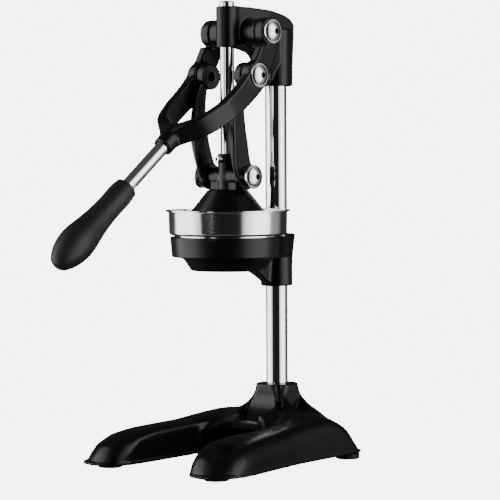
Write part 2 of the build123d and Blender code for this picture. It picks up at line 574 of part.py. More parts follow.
# Bell-shaped press cone with a boss for the rod and low ribs round the boss.
BELL_TOP_R, BELL_R, BELL_RIM_R, BELL_RIM_Z, BELL_WALL = 18.4, 44.0, 46.0, 208.5, 3.2
CONE_SCREW_Z = 277.0
CROSS_BOSS_R = 8.2
RIB_HALF_WIDTH = 16.4
with BuildPart() as press_cone:
    with BuildSketch(Plane.YZ):
        with BuildLine():
            Polyline(
                (PRESS_Y, CONE_TOP), (PRESS_Y + BELL_TOP_R, CONE_TOP), (PRESS_Y + BELL_R, BELL_RIM_Z + 8.0),
                (PRESS_Y + BELL_RIM_R, BELL_RIM_Z), (PRESS_Y + BELL_RIM_R - BELL_WALL, BELL_RIM_Z),
                (PRESS_Y + BELL_R - BELL_WALL - 0.8, BELL_RIM_Z + 8.0),
                (PRESS_Y + BELL_TOP_R - 3.6, CONE_TOP - 5.0), (PRESS_Y, CONE_TOP - 5.0), close=True,
            )
        make_face()
    revolve(axis=Axis((0, PRESS_Y, 0), (0, 0, 1)))
    with Locations((0, PRESS_Y, CONE_TOP - 2)):
        Cylinder(CONE_BOSS_R, CONE_BOSS_TOP - CONE_TOP + 2, align=(Align.CENTER, Align.CENTER, Align.MIN))
    # Cross boss that carries the links
    with BuildSketch(across(0, LOWER_PIN_Y, LOWER_PIN_Z)):
        Circle(CROSS_BOSS_R)
    extrude(amount=LINK_INNER - FACE_GAP, both=True)
    # Arched ribs in front of the cross boss and behind it
    for y in (-4.6, 4.6):
        with BuildSketch(Plane.XZ.offset(-(PRESS_Y + y))) as rib:
            with Locations((0, CONE_TOP + 6.0)):
                Rectangle(2 * RIB_HALF_WIDTH, 20.0)
            fillet(rib.vertices().group_by(Axis.Y)[-1], 5.0)
        extrude(amount=1.8, both=True)
    with Locations((0, PRESS_Y, ROD_BOTTOM)):
        Cylinder(ROD_R + 0.02, 100, align=(Align.CENTER, Align.CENTER, Align.MIN), mode=Mode.SUBTRACT)
    with BuildSketch(across(0, LOWER_PIN_Y, LOWER_PIN_Z)):
        Circle(SCREW_R + 0.02)
    extrude(amount=20, both=True, mode=Mode.SUBTRACT)
    with BuildSketch(Plane((0, PRESS_Y - 20, CONE_SCREW_Z), x_dir=(1, 0, 0), z_dir=(0, 1, 0))):
        Circle(3.02)
    extrude(amount=20 - ROD_R, mode=Mode.SUBTRACT)
write("press_cone", press_cone.part)

with BuildPart() as cone_set_screw:
    with BuildSketch(
        Plane((0, PRESS_Y - ROD_R - 0.1, CONE_SCREW_Z), x_dir=(1, 0, 0), z_dir=(0, -1, 0))
    ):
        Circle(3.0)
    extrude(amount=8.5)
    fillet(cone_set_screw.edges().sort_by(Axis.Y)[0], 0.5)
    with BuildSketch(
        Plane((0, PRESS_Y - ROD_R - 8.6, CONE_SCREW_Z), x_dir=(1, 0, 0), z_dir=(0, -1, 0))
    ):
        RegularPolygon(1.7, 6)
    extrude(amount=-3.0, mode=Mode.SUBTRACT)
write("cone_set_screw", cone_set_screw.part)

# === Screws, washers, sleeves and bushes of the joints =========================================


def button_screw(plane, shank_length):
    """A domed socket screw whose head stands on the plane, with its shank behind it."""
    with BuildPart() as screw:
        with BuildSketch(plane):
            Circle(SCREW_R)
        extrude(amount=-shank_length)
        with BuildSketch(plane):
            Circle(SCREW_HEAD_R)
        extrude(amount=SCREW_HEAD_HEIGHT)
        outer_edge = screw.faces().sort_by(Axis(plane.origin, plane.z_dir))[-1].edges()
        fillet(outer_edge, SCREW_HEAD_HEIGHT * 0.65)
        with BuildSketch(plane.offset(SCREW_HEAD_HEIGHT)):
            RegularPolygon(HEX_SOCKET_R, 6)
        extrude(amount=-HEX_SOCKET_DEPTH, mode=Mode.SUBTRACT)
    return screw.part


def ring(plane, outer_r, inner_r, length):
    """A plain ring that stands on the plane."""
    with BuildPart() as plain_ring:
        with BuildSketch(plane):
            Circle(outer_r)
            Circle(inner_r, mode=Mode.SUBTRACT)
        extrude(amount=length)
    return plain_ring.part


def cup_washer(plane):
    """A washer with a groove round the screw's head, so that its rim stands up."""
    with BuildPart() as washer:
        with BuildSketch(plane):
            Circle(WASHER_R)
            Circle(SCREW_R + 0.3, mode=Mode.SUBTRACT)
        extrude(amount=WASHER_THICKNESS)
        with BuildSketch(plane.offset(WASHER_THICKNESS)):
            Circle(WASHER_GROOVE_R)
            Circle(SCREW_HEAD_R - 0.8, mode=Mode.SUBTRACT)
        extrude(amount=-WASHER_GROOVE_DEPTH, mode=Mode.SUBTRACT)
    return washer.part


PIVOT_BUSH_R, LINK_BUSH_R = 6.5, 7.0
LOWER_WASHER_X = LINK_OUTER + 3.8  # the sleeve shows between link and washer
SLEEVE_R = LINK_BUSH_R - 1.2
for side_name, side in SIDES.items():
    # Yoke pivot: the screw is fixed in the head, and the yoke turns round its bush.
    pivot_face = ARM_OUTER + FACE_GAP
    write(
        f"pivot_washer_{side_name}",
        cup_washer(across(pivot_face, PIVOT_Y, PIVOT_Z, side)),
    )
    write(
        f"pivot_screw_{side_name}",
        button_screw(
            across(pivot_face + WASHER_THICKNESS, PIVOT_Y, PIVOT_Z, side),
            pivot_face + WASHER_THICKNESS - 12.0,
        ),
    )
    write(
        f"pivot_bush_{side_name}",
        ring(
            across(ARM_BOSS_INNER, PIVOT_Y, PIVOT_Z, side), PIVOT_BUSH_R - 0.01,
            SCREW_R + RUNNING_CLEARANCE, ARM_OUTER - ARM_BOSS_INNER,
        ),
    )
    # Upper link screw: carried by the yoke arm, with its end just inside the arm.
    write(
        f"upper_link_washer_{side_name}",
        cup_washer(across(ARM_OUTER, UPPER_PIN_Y, UPPER_PIN_Z, side)),
    )
    write(
        f"upper_link_screw_{side_name}",
        button_screw(
            across(ARM_OUTER + WASHER_THICKNESS, UPPER_PIN_Y, UPPER_PIN_Z, side),
            ARM_OUTER + WASHER_THICKNESS - ARM_BOSS_INNER - 0.5,
        ),
    )
    # Lower link pin: sleeve, washer and screw on the press cone, the link turns on the sleeve.
    write(
        f"lower_sleeve_{side_name}",
        ring(
            across(LINK_INNER - FACE_GAP, LOWER_PIN_Y, LOWER_PIN_Z, side), SLEEVE_R, SCREW_R + 0.02,
            LOWER_WASHER_X - LINK_INNER + FACE_GAP - 0.01,
        ),
    )
    write(
        f"lower_washer_{side_name}",
        cup_washer(across(LOWER_WASHER_X, LOWER_PIN_Y, LOWER_PIN_Z, side)),
    )
    write(
        f"lower_screw_{side_name}",
        button_screw(
            across(LOWER_WASHER_X + WASHER_THICKNESS, LOWER_PIN_Y, LOWER_PIN_Z, side),
            LOWER_WASHER_X + WASHER_THICKNESS - 0.2,
        ),
    )
    write(
        f"lower_bush_{side_name}",
        ring(
            across(LINK_INNER, LOWER_PIN_Y, LOWER_PIN_Z, side), LINK_BUSH_R - 0.01,
            SLEEVE_R + RUNNING_CLEARANCE, LINK_FOOT_OUTER - LINK_INNER,
        ),
    )

# === Links ======================================================================================
# Side outline of the links, front from the top down and rear from the bottom up, relative to
# the press axis.
LINK_FRONT = ((-9.5, 345.0), (-17.0, 330.0), (-21.0, 312.0), (-20.6, 292.0), (-17.4, 272.0), (-11.0, 256.5))
LINK_REAR = ((9.5, 266.0), (3.5, 277.0), (-2.1, 294.0), (-4.7, 308.0), (-6.2, 322.0), (-4.0, 341.0))
UPPER_HOLE_R = 5.0
for side_name, side in SIDES.items():
    with BuildPart() as link:
        with BuildSketch(Plane.YZ.offset(side * (LINK_INNER + LINK_OUTER) / 2)):
            with BuildLine():
                front = Spline(*[(PRESS_Y + y, z) for y, z in LINK_FRONT])
                rear = Spline(*[(PRESS_Y + y, z) for y, z in LINK_REAR])
                Line(front @ 1, rear @ 0)
                Line(rear @ 1, front @ 0)
            make_face()
            with Locations((UPPER_PIN_Y, UPPER_PIN_Z), (LOWER_PIN_Y, LOWER_PIN_Z)):
                Circle(LINK_EYE_R)
        extrude(amount=(LINK_OUTER - LINK_INNER) / 2, both=True)
        with BuildSketch(Plane.XZ):
            Polygon(
                (side * LINK_FOOT_OUTER, 240.0), (side * LINK_FOOT_OUTER, 272.0),
                (side * (LINK_OUTER + 0.3), 292.0), (side * 40.0, 292.0), (side * 40.0, 240.0), align=None,
            )
        extrude(amount=HEIGHT, both=True, mode=Mode.SUBTRACT)
        with BuildSketch(across(0, LOWER_PIN_Y, LOWER_PIN_Z, side)):
            Circle(LINK_BUSH_R)
        extrude(amount=HEIGHT, mode=Mode.SUBTRACT)
        with BuildSketch(across(0, UPPER_PIN_Y, UPPER_PIN_Z, side)):
            Circle(UPPER_HOLE_R)
        extrude(amount=LINK_OUTER - 2.5, mode=Mode.SUBTRACT)
    write(f"link_{side_name}", link.part)

# === Lever yoke =================================================================================
handle_down, handle_front = sin(radians(HANDLE_ANGLE)), -cos(radians(HANDLE_ANGLE))
handle_direction = Vector(0, handle_front, -handle_down)
ROD_START = 3.0  # upper end of the handle's rod, from the hub's top end


def on_handle(distance):
    """A plane across the handle's axis, at a distance beyond the hub's top end."""
    origin = Vector(0, HUB_Y, HUB_Z) + handle_direction * distance
    return Plane(origin=origin, x_dir=(1, 0, 0), z_dir=handle_direction)


# Side outline of the arms, from the pivot down to the hub, relative to the press axis.
ARM_FRONT = (
    (4.6, 379.0), (-4.1, 364.2), (-14.0, 352.5), (-25.0, 341.5), (-42.8, 327.8), (-60.0, 317.0),
    (-74.0, 307.5), (-85.9, 294.9),
)
ARM_REAR = (
    (-78.7, 285.3), (-66.0, 291.5), (-56.0, 296.5), (-42.0, 305.0), (-25.0, 316.0), (-9.0, 327.0),
    (6.5, 340.0), (14.0, 353.0), (22.5, 366.0), (29.5, 382.0),
)
FORK_CROTCH, FORK_END = 3.0, 150.0  # from the hub's top end back along the handle's axis
with BuildPart() as lever_yoke:
    with BuildSketch(Plane.YZ):
        with BuildLine():
            front = Spline(*[(PRESS_Y + y, z) for y, z in ARM_FRONT])
            rear = Spline(*[(PRESS_Y + y, z) for y, z in ARM_REAR])
            Line(front @ 1, rear @ 0)
            Line(rear @ 1, front @ 0)
        make_face()
        with Locations((PIVOT_Y, PIVOT_Z), (UPPER_PIN_Y, UPPER_PIN_Z)):
            Circle(ARM_BOSS_R)
    extrude(amount=ARM_OUTER, both=True)
    # Keep only the fork in plan, seen across the handle's axis
    with BuildSketch(
        Plane(origin=(0, HUB_Y, HUB_Z), x_dir=(1, 0, 0), z_dir=(0, -handle_down, -handle_front))
    ):
        with BuildLine():
            outer = Spline(
                (ARM_OUTER, 52.0), (ARM_OUTER - 2.7, 31.0), (ARM_OUTER - 9.7, 13.0), (18.5, 1.0),
                (10.0, -8.0), (6.0, -14.0), tangents=((0, -1), (-0.3, -1)),
            )
            Polyline(outer @ 1, (0, -14.0), (0, FORK_CROTCH))
            inner = Spline(
                (0, FORK_CROTCH), (10.5, FORK_CROTCH + 2.5), (ARM_INNER - 8.7, FORK_CROTCH + 11.0),
                (ARM_INNER - 2.5, FORK_CROTCH + 26.0), (ARM_INNER, FORK_CROTCH + 44.0),
                tangents=((1, 0), (0, 1)),
            )
            Polyline(inner @ 1, (ARM_INNER, FORK_END), (ARM_OUTER, FORK_END), outer @ 0)
        make_face()
        mirror(about=Plane.YZ)
    extrude(amount=HEIGHT, both=True, mode=Mode.INTERSECT)
    # Bosses that stand inwards from the arms
    for y, z in ((PIVOT_Y, PIVOT_Z), (UPPER_PIN_Y, UPPER_PIN_Z)):
        for side in SIDES.values():
            with BuildSketch(across(ARM_BOSS_INNER, y, z, side)):
                Circle(ARM_BOSS_R)
            extrude(amount=ARM_INNER - ARM_BOSS_INNER)
    # Hub for the handle's rod
    with BuildSketch(on_handle(0)):
        Circle(HUB_R)
    extrude(amount=HUB_LENGTH)
    # Bores
    for y, z, radius in ((PIVOT_Y, PIVOT_Z, PIVOT_BUSH_R), (UPPER_PIN_Y, UPPER_PIN_Z, SCREW_R + 0.02)):
        with BuildSketch(across(0, y, z)):
            Circle(radius)
        extrude(amount=HEIGHT, both=True, mode=Mode.SUBTRACT)
    with BuildSketch(on_handle(ROD_START)):
        Circle(HANDLE_R + 0.02)
    extrude(amount=HEIGHT, mode=Mode.SUBTRACT)
write("lever_yoke", lever_yoke.part)

# === Handle =====================================================================================
GRIP_START = HUB_LENGTH + HANDLE_FREE
GRIP_END_WALL = 18.0  # from the rod's lower end to the grip's tip
with BuildPart() as handle_rod:
    with BuildSketch(on_handle(ROD_START + 0.2)):
        Circle(HANDLE_R)
    extrude(amount=GRIP_START + GRIP_LENGTH - GRIP_END_WALL - ROD_START)
write("handle_rod", handle_rod.part)

with BuildPart() as grip_collar:
    with BuildSketch(on_handle(GRIP_START)):
        Circle(10.4)
        Circle(HANDLE_R + 0.02, mode=Mode.SUBTRACT)
    extrude(amount=3.0)
write("grip_collar", grip_collar.part)

# Turned grip: collar end, neck, bulge and rounded end. Values: distance along it and radius.
GRIP_OUTLINE = (
    (3.6, 10.9), (10.0, 11.3), (22.0, 11.1), (34.0, 11.4), (46.0, 12.3), (58.0, 13.9), (70.0, 15.6),
    (76.0, 15.8), (82.0, 15.2), (88.0, 14.0), (94.0, 12.0), (100.0, 8.8),
)
grip_origin = on_handle(GRIP_START).origin
with BuildPart() as handle_grip:
    with BuildSketch(
        Plane(origin=grip_origin, x_dir=(1, 0, 0), z_dir=(0, handle_down, handle_front))
    ):
        with BuildLine():
            turned = Spline(*[(r, s) for s, r in GRIP_OUTLINE])
            tip = Spline(
                turned @ 1, (5.4, 102.9), (0, GRIP_LENGTH), tangents=(turned % 1, (-1, 0))
            )
            Polyline(tip @ 1, (0, 3.02), (10.2, 3.02), turned @ 0)
        make_face()
    revolve(axis=Axis(grip_origin, handle_direction))
    with BuildSketch(on_handle(GRIP_START)):
        Circle(HANDLE_R + 0.02)
    extrude(amount=GRIP_LENGTH - GRIP_END_WALL + 0.4, mode=Mode.SUBTRACT)
write("handle_grip", handle_grip.part)
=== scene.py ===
import bpy
import json
import numpy as np
from math import cos, pi, radians, sin
from mathutils import Matrix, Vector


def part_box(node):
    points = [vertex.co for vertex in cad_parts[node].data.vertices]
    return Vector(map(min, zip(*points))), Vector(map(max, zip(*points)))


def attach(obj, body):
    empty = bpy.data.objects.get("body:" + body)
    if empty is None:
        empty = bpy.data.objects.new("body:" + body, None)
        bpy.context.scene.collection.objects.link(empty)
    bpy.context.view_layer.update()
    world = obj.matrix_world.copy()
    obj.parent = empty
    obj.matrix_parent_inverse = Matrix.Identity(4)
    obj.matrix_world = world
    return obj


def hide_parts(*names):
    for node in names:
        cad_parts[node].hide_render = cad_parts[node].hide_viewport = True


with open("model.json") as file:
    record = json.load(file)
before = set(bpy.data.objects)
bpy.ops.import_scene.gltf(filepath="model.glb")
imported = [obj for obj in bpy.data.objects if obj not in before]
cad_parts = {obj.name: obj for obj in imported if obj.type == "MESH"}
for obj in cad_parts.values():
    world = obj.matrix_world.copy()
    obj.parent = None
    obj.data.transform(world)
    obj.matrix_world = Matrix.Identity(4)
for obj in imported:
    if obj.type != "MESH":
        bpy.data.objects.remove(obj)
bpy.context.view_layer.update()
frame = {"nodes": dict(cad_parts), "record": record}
nodes = frame["nodes"]
MM = 0.001

# --- Base casting ---------------------------------------------------------------------------
# One iron casting: two long shoe-shaped legs and a bridge that rises to the column's post,
# with soft blends between them. It has a scoop in front of the post, flat pads and gutters
# round it, a hollow underside with a thin flange at the bottom, and satin black enamel.
press_y = sum(corner.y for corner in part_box("press_rod")) / 2 / MM
COLUMN = 67.0  # from the press axis to the column's, as all y values of the castings
POST_TOP = 67.8


def soft_union(a, b, radius):
    """Joins two distance fields with a fillet."""
    share = np.clip(0.5 + 0.5 * (b - a) / radius, 0, 1)
    return b * (1 - share) + a * share - radius * share * (1 - share)


def soft_common(a, b, radius):
    """What two distance fields share, with a rounded edge."""
    return -soft_union(-a, -b, radius)


def curve(points, steps=6):
    """Points of a smooth curve through the given ones."""
    p = np.array(points, float)
    p = np.vstack([2 * p[0] - p[1], p, 2 * p[-1] - p[-2]])
    out = []
    for i in range(1, len(p) - 2):
        for t in np.arange(steps) / steps:
            out.append(0.5 * (2 * p[i] + (p[i + 1] - p[i - 1]) * t
                              + (2 * p[i - 1] - 5 * p[i] + 4 * p[i + 1] - p[i + 2]) * t * t
                              + (3 * p[i] - p[i - 1] - 3 * p[i + 1] + p[i + 2]) * t ** 3))
    return [tuple(v) for v in out] + [tuple(p[-2])]


def outline(u, v, points):
    """Signed distance to a closed outline in two coordinates, negative inside."""
    u, v = np.broadcast_arrays(u, v)
    nearest, inside = np.full(u.shape, 1e9), np.zeros(u.shape, bool)
    for (ax, ay), (bx, by) in zip(points, points[1:] + points[:1]):
        ex, ey = bx - ax, by - ay
        length = max(ex * ex + ey * ey, 1e-12)
        along = np.clip(((u - ax) * ex + (v - ay) * ey) / length, 0, 1)
        nearest = np.minimum(nearest, (u - ax - along * ex) ** 2 + (v - ay - along * ey) ** 2)
        if ay != by:
            inside ^= ((ay > v) != (by > v)) & (u < ax + (v - ay) * ex / ey)
    return np.where(inside, -1, 1) * np.sqrt(nearest)


def cast(name, low, high, step, shape, material, body, node):
    """Meshes the skin of a distance field by surface nets and puts it in a node's place."""
    axes = [np.arange(a, b + step, step) for a, b in zip(low, high)]
    x, y, z = np.meshgrid(*axes, indexing="ij", sparse=True)
    field = np.broadcast_to(shape(x, y, z), [len(axis) for axis in axes]).astype(np.float32)
    inside = field < 0
    size = [n - 1 for n in field.shape]
    corners = [(i, j, k) for i in (0, 1) for j in (0, 1) for k in (0, 1)]

    def corner(values, offset):
        return values[tuple(slice(o, o + n) for o, n in zip(offset, size))]

    count = sum(corner(inside, c).astype(np.int8) for c in corners)
    used = (count > 0) & (count < 8)
    index = -np.ones(size, np.int64)
    index[used] = np.arange(used.sum())
    total, crossings = np.zeros((used.sum(), 3)), np.zeros(used.sum())
    for a in corners:
        for axis in range(3):
            if a[axis]:
                continue
            b = tuple(v + (n == axis) for n, v in enumerate(a))
            fa, fb = corner(field, a)[used], corner(field, b)[used]
            crossed = (fa < 0) != (fb < 0)
            share = np.where(crossed, fa / np.where(crossed, fa - fb, 1), 0)
            point = np.repeat(np.array([a], float), len(fa), 0)
            point[:, axis] += share
            total += point * crossed[:, None]
            crossings += crossed
    points = np.array(low) + (np.argwhere(used) + total / crossings[:, None]) * step
    points[:, 1] += press_y
    quads = []
    for axis in range(3):
        u, v = (axis + 1) % 3, (axis + 2) % 3
        first = inside.take(range(0, size[axis]), axis)
        second = inside.take(range(1, size[axis] + 1), axis)
        for edge, flip in ((first & ~second, False), (~first & second, True)):
            edge = np.argwhere(edge)
            edge = edge[(edge[:, u] > 0) & (edge[:, v] > 0)]
            edge = edge[(edge[:, u] < size[u]) & (edge[:, v] < size[v])]
            du, dv = np.eye(3, dtype=int)[u], np.eye(3, dtype=int)[v]
            ring = [edge - du - dv, edge - dv, edge, edge - du]
            quad = np.stack([index[tuple(r.T)] for r in ring], 1)
            quads.append(quad[:, ::-1] if flip else quad)
    mesh = bpy.data.meshes.new(name)
    mesh.from_pydata((points * MM).tolist(), [], np.concatenate(quads).tolist())
    mesh.polygons.foreach_set("use_smooth", [True] * len(mesh.polygons))
    mesh.materials.append(material)
    piece = bpy.data.objects.new(name, mesh)
    bpy.context.scene.collection.objects.link(piece)
    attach(piece, body)
    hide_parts(node)


def enamel(name, rough_low, rough_high, colour, peel_scale, peel_strength):
    """Black finish with a fine skin texture and a gloss that varies slightly."""
    material = bpy.data.materials.new(name)
    material.use_nodes = True
    tree = material.node_tree
    shader = tree.nodes["Principled BSDF"]
    place = tree.nodes.new("ShaderNodeTexCoord")
    cloud = tree.nodes.new("ShaderNodeTexNoise")
    cloud.inputs["Scale"].default_value = 35
    cloud.inputs["Detail"].default_value = 6
    gloss = tree.nodes.new("ShaderNodeMapRange")
    gloss.inputs["To Min"].default_value = rough_low
    gloss.inputs["To Max"].default_value = rough_high
    peel = tree.nodes.new("ShaderNodeTexNoise")
    peel.inputs["Scale"].default_value = peel_scale
    peel.inputs["Detail"].default_value = 2
    bump = tree.nodes.new("ShaderNodeBump")
    bump.inputs["Strength"].default_value = peel_strength
    bump.inputs["Distance"].default_value = 0.0003
    shader.inputs["Base Color"].default_value = (*colour, 1)
    shader.inputs["Specular IOR Level"].default_value = 0.27
    tree.links.new(place.outputs["Object"], cloud.inputs["Vector"])
    tree.links.new(place.outputs["Object"], peel.inputs["Vector"])
    tree.links.new(cloud.outputs["Fac"], gloss.inputs["Value"])
    tree.links.new(gloss.outputs["Result"], shader.inputs["Roughness"])
    tree.links.new(peel.outputs["Fac"], bump.inputs["Height"])
    tree.links.new(bump.outputs["Normal"], shader.inputs["Normal"])
    return material


def base_shape(x, y, z):
    x = abs(x)
    # Leg in plan, and its top along y
    plan = outline(x, y, curve([
        (66, -111.8), (79, -108), (88.5, -94), (90, -72), (85.5, -40), (80.2, 0), (77.8, 34),
        (76.2, 60), (75, 84), (73, 98.6), (69, 105.4), (63, 105.8), (56, 99.6),
        (48, 84), (40, 60),
        (35, 30), (34, 0), (34, -40), (35.5, -72), (41, -94), (51, -107.5), (66, -111.8)])[:-1])
    top = np.interp(
        y, (-112, -108, -100, -90, -75, -50, -25, 0, 22, 40, 57, 69, 78, 87, 95, 101, 107),
        (5, 12, 20, 26, 31, 33.6, 34.6, 35.6, 38, 39.8, 40.6, 37.5, 32, 26, 19.5, 14, 8))
    blunt = np.interp(y, (-112, -88, -60), (3.0, 1.6, 1.0))
    crest = top - blunt * (0.006 * np.maximum(54 - x, 0) ** 2 + 0.0075 * np.maximum(x - 58, 0) ** 2)
    leg = soft_common(plan + 0.10 * z, (z - crest) * 0.9, 11)
    leg = soft_common(leg, 39.5 - x + 0.03 * z, 0.8)
    # Bridge: a flare round the column, cut to its plan
    r = np.hypot(x, y - COLUMN)
    flare = (z - np.interp(r, (0, 18.9, 19.4, 20.6, 22.6, 25.2, 28.6, 33, 40, 48, 58, 70, 90),
                           (90, 90, 68, 61, 56.5, 53, 49.5, 46.6, 43.2, 39, 33, 24, 10))) * 0.62
    front = 36 - np.hypot(x, y + 8)
    rear = y - (97.5 - 0.0022 * x ** 2) + 0.1 * z
    bridge = soft_common(soft_common(flare, rear, 10), soft_common(front, 8 - y, 3), 3)
    bridge = soft_common(bridge, x - 66, 3)
    body = soft_union(leg, bridge, 11)
    body = soft_common(body, z - POST_TOP, 1.0)
    # Flange along the bottom
    low = np.interp(y, (-112, -60, 0, 100), (3.4, 3.6, 4.6, 5.0))
    flange = soft_common(soft_common(plan - 0.15, abs(z - low - 1.3) - 1.3, 0.8), 38.8 - x, 0.8)
    body = soft_union(body, flange, 0.6)
    # Scoop in front of the post
    floor = outline(y, z, curve([(49.2, 72), (49.2, 62), (48.8, 55), (44.5, 46.5), (35, 38.8),
                                 (24, 34.2), (8, 31.5)]) + [(8, 72)])
    width = np.interp(y, (12, 24, 32, 40, 46, 50), (6, 11, 14, 16.4, 16.8, 15.6))
    scoop = soft_common(floor, (x - width) * 0.9, 1.2)
    # Pads at the sides and behind, and gutters between them
    along = y - COLUMN
    shield = np.minimum(np.maximum(abs(along) - 10.3, 54 - z), np.hypot(along, z - 54) - 10.3)
    pads = soft_common(shield, 18.6 - x, 0.5)
    shield = np.minimum(np.maximum(x - 10.3, 54 - z), np.hypot(x, z - 54) - 10.3)
    pads = np.minimum(pads, soft_common(shield, 18.6 - along, 0.5))
    reach = np.interp(z, (43, 44.5, 46.8, 52, 60, 70), (200, 40, 28, 20.6, 17.9, 17.4))
    gutter = soft_common(abs(x - abs(along)) * 0.707 - 2.6, (reach - r) * 0.7, 1.6)
    body = soft_common(body, -np.minimum(np.minimum(scoop, pads), gutter), 0.5)
    # Hollow underside, arch under the bridge and the column's bore
    hollow = outline(x, y, [(48, -78), (80, -78), (76, -30), (70, 40), (68, 56), (50, 56),
                            (46.5, 0), (46.5, -50)])
    hollow = soft_common(hollow, (z - crest + 7) * 0.9, 6)
    arch = np.maximum(np.maximum(x - 38.5, z - 26.5), np.maximum(-30 - y, y - 84.5))
    arch = soft_common(arch, 17 - r, 1)
    below = np.minimum(np.minimum(hollow, arch), z - low)
    bore = np.minimum(r - 5.5, np.maximum(r - 12.5, z - 14))
    bore = np.minimum(np.maximum(r - 10.0, 22 - z), bore)
    foot = np.minimum(np.hypot(x - 65, y + 88), np.hypot(x - 65, y - 91)) - 11.05
    below = np.minimum(np.minimum(below, bore), np.maximum(foot, z - 5))
    return np.maximum(body, -below)


black_enamel = enamel("satin_black_enamel", 0.24, 0.32, (0.0035, 0.0035, 0.0037), 900, 0.05)
cast("base_casting_skin", (-92.5, -113.5, 2), (92.5, 108.5, 70), 1.25, base_shape, black_enamel,
     "stand", "base_casting")

# --- Head casting ---------------------------------------------------------------------------
# The arm on top of the column: a flat-sided slab from the column's socket to the press rod's
# guide, with round bosses through it for the yoke. Same casting and enamel as the base.


def head_shape(x, y, z):
    wide = abs(x)
    side = (curve([(0, 415), (20, 415)], 2)
            + curve([(48.5, 413.1), (66.4, 409.4), (75.4, 405.6), (80.4, 400.5)])
            + [(79.6, 384), (78.4, 364), (77.8, 344), (53.8, 344)]
            + curve([(53.6, 349), (50.5, 357), (41.2, 371.6), (28.4, 376.2), (18, 378)])
            + [(0, 378)])
    slab = outline(y, z, side)
    width = np.interp(y, (0, 45), (9.3, 12.3))
    lower = np.where(y < COLUMN - 6, 4.7 + (z - 344) * 0.336, 50)
    slab = soft_common(slab, wide - width, 2.2)
    slab = np.maximum(slab, (wide - np.maximum(lower, 0)) * 0.95)
    r = np.hypot(x, y - COLUMN)
    socket = np.maximum(r - 13.7 - (z - 344) * 0.0135, np.maximum(344 - z, z - 396))
    body = soft_union(slab, socket, 0.7)
    guide = soft_common(np.hypot(x, y) - 9.8, abs(z - 396.5) - 18.5, 1.0)
    body = soft_union(body, guide, 2.0)
    boss = soft_common(np.hypot(y - 17.9, z - 391.7) - 12, wide - 27.7, 1.2)
    body = soft_union(body, boss, 1.6)
    bores = np.minimum(np.hypot(x, y) - 8.2, np.maximum(r - 10.02, z - 404))
    bores = np.minimum(bores, np.hypot(y - 17.9, z - 391.7) - 4.05)
    screw = np.maximum(np.hypot(x, z - 360) - 3.0, COLUMN - y)
    return np.maximum(body, -np.minimum(bores, screw))


cast("head_casting_skin", (-28.8, -11, 343), (28.8, 83, 416), 0.8, head_shape, black_enamel,
     "stand", "head_casting")

# --- Bowl bracket ---------------------------------------------------------------------------
# Ring and funnel that carry the cup, cast in one with the sleeve on the column.


def bracket_shape(x, y, z):
    r, c = np.hypot(x, y), np.hypot(x, y - COLUMN)
    ring = outline(r, z, [(-5, 207), (52.7, 207), (51.2, 188.9), (50.8, 188.5), (44, 188.3)]
                   + curve([(43.2, 188), (40.5, 186), (38, 182.8), (36, 179.6), (33.7, 176)])
                   + [(-5, 176)])
    sleeve = outline(c, z, [(-5, 159), (14.8, 159), (14.8, 179)]
                     + curve([(14.9, 183), (15.8, 193), (17.5, 207.2)]) + [(-5, 207.2)])
    web = outline(x, y, [(-49.5, 12), (49.5, 12), (39, 36), (17, 67), (-17, 67), (-39, 36)])
    web = soft_common(web, abs(z - 197.5) - 9.0, 1.5)
    gusset = outline(y, z, curve([(26, 176), (40, 169), (54, 160)])
                     + [(67, 160), (67, 190), (26, 190)])
    gusset = soft_common(gusset, abs(x) - 5 - (z - 160) * 0.05, 2)
    body = soft_union(soft_union(ring, web, 3), soft_union(sleeve, gusset, 3), 4)
    inner = outline(r, z, [(-5, 220), (49.2, 220), (49.2, 190.4), (42, 190.4), (33, 182), (8, 178),
                           (8, 170), (-5, 170)])
    cuts = np.minimum(inner, np.maximum(r - 54.6, 207 - z))
    cuts = np.minimum(cuts, c - 10.02)
    screw = np.maximum(np.hypot(x, z - 172) - 3.0, COLUMN - y)
    return soft_common(np.maximum(body, z - 207.2), -np.minimum(cuts, screw), 0.8)


cast("bowl_bracket_skin", (-54, -54, 158), (54, 85.5, 208.5), 1.0, bracket_shape, black_enamel,
     "stand", "bowl_bracket")

# --- Press cone -----------------------------------------------------------------------------
# Bell on the lower end of the press rod, with a boss for the rod, a cross boss for the links
# and two arched ribs.


def cone_shape(x, y, z):
    r = np.hypot(x, y)
    bell = outline(r, z, [(-5, 249), (18.4, 249), (44, 216.5), (46, 209.2), (45.4, 208.5),
                          (42.8, 208.5), (40, 216.5), (14.8, 244), (-5, 244)])
    boss = soft_common(r - 9, abs(z - 264) - 18, 0.8)
    cross = soft_common(np.hypot(y, z - 261) - 8.2, abs(x) - 18.1, 1.0)
    rib = outline(abs(x), z, [(-5, 245), (16.4, 245), (16.4, 260)]
                  + curve([(16, 262), (14.4, 264.2), (12.4, 265), (11, 265)]) + [(-5, 265)])
    ribs = soft_common(rib, abs(abs(y) - 4.6) - 1.8, 0.8)
    body = soft_union(soft_union(bell, boss, 1.5), soft_union(cross, ribs, 0.8), 0.8)
    bores = np.minimum(np.maximum(r - 6.52, 251 - z), np.hypot(y, z - 261) - 4.02)
    screw = np.maximum(np.hypot(x, z - 277) - 3.02, y + 5)
    return np.maximum(body, -np.minimum(bores, screw))


cast("press_cone_skin", (-47, -47, 207.5), (47, 47, 283), 0.9, cone_shape, black_enamel,
     "press", "press_cone")

# --- Links ----------------------------------------------------------------------------------
# Two bowed cast bars between the yoke and the press cone, with round eyes thicker than the bar.


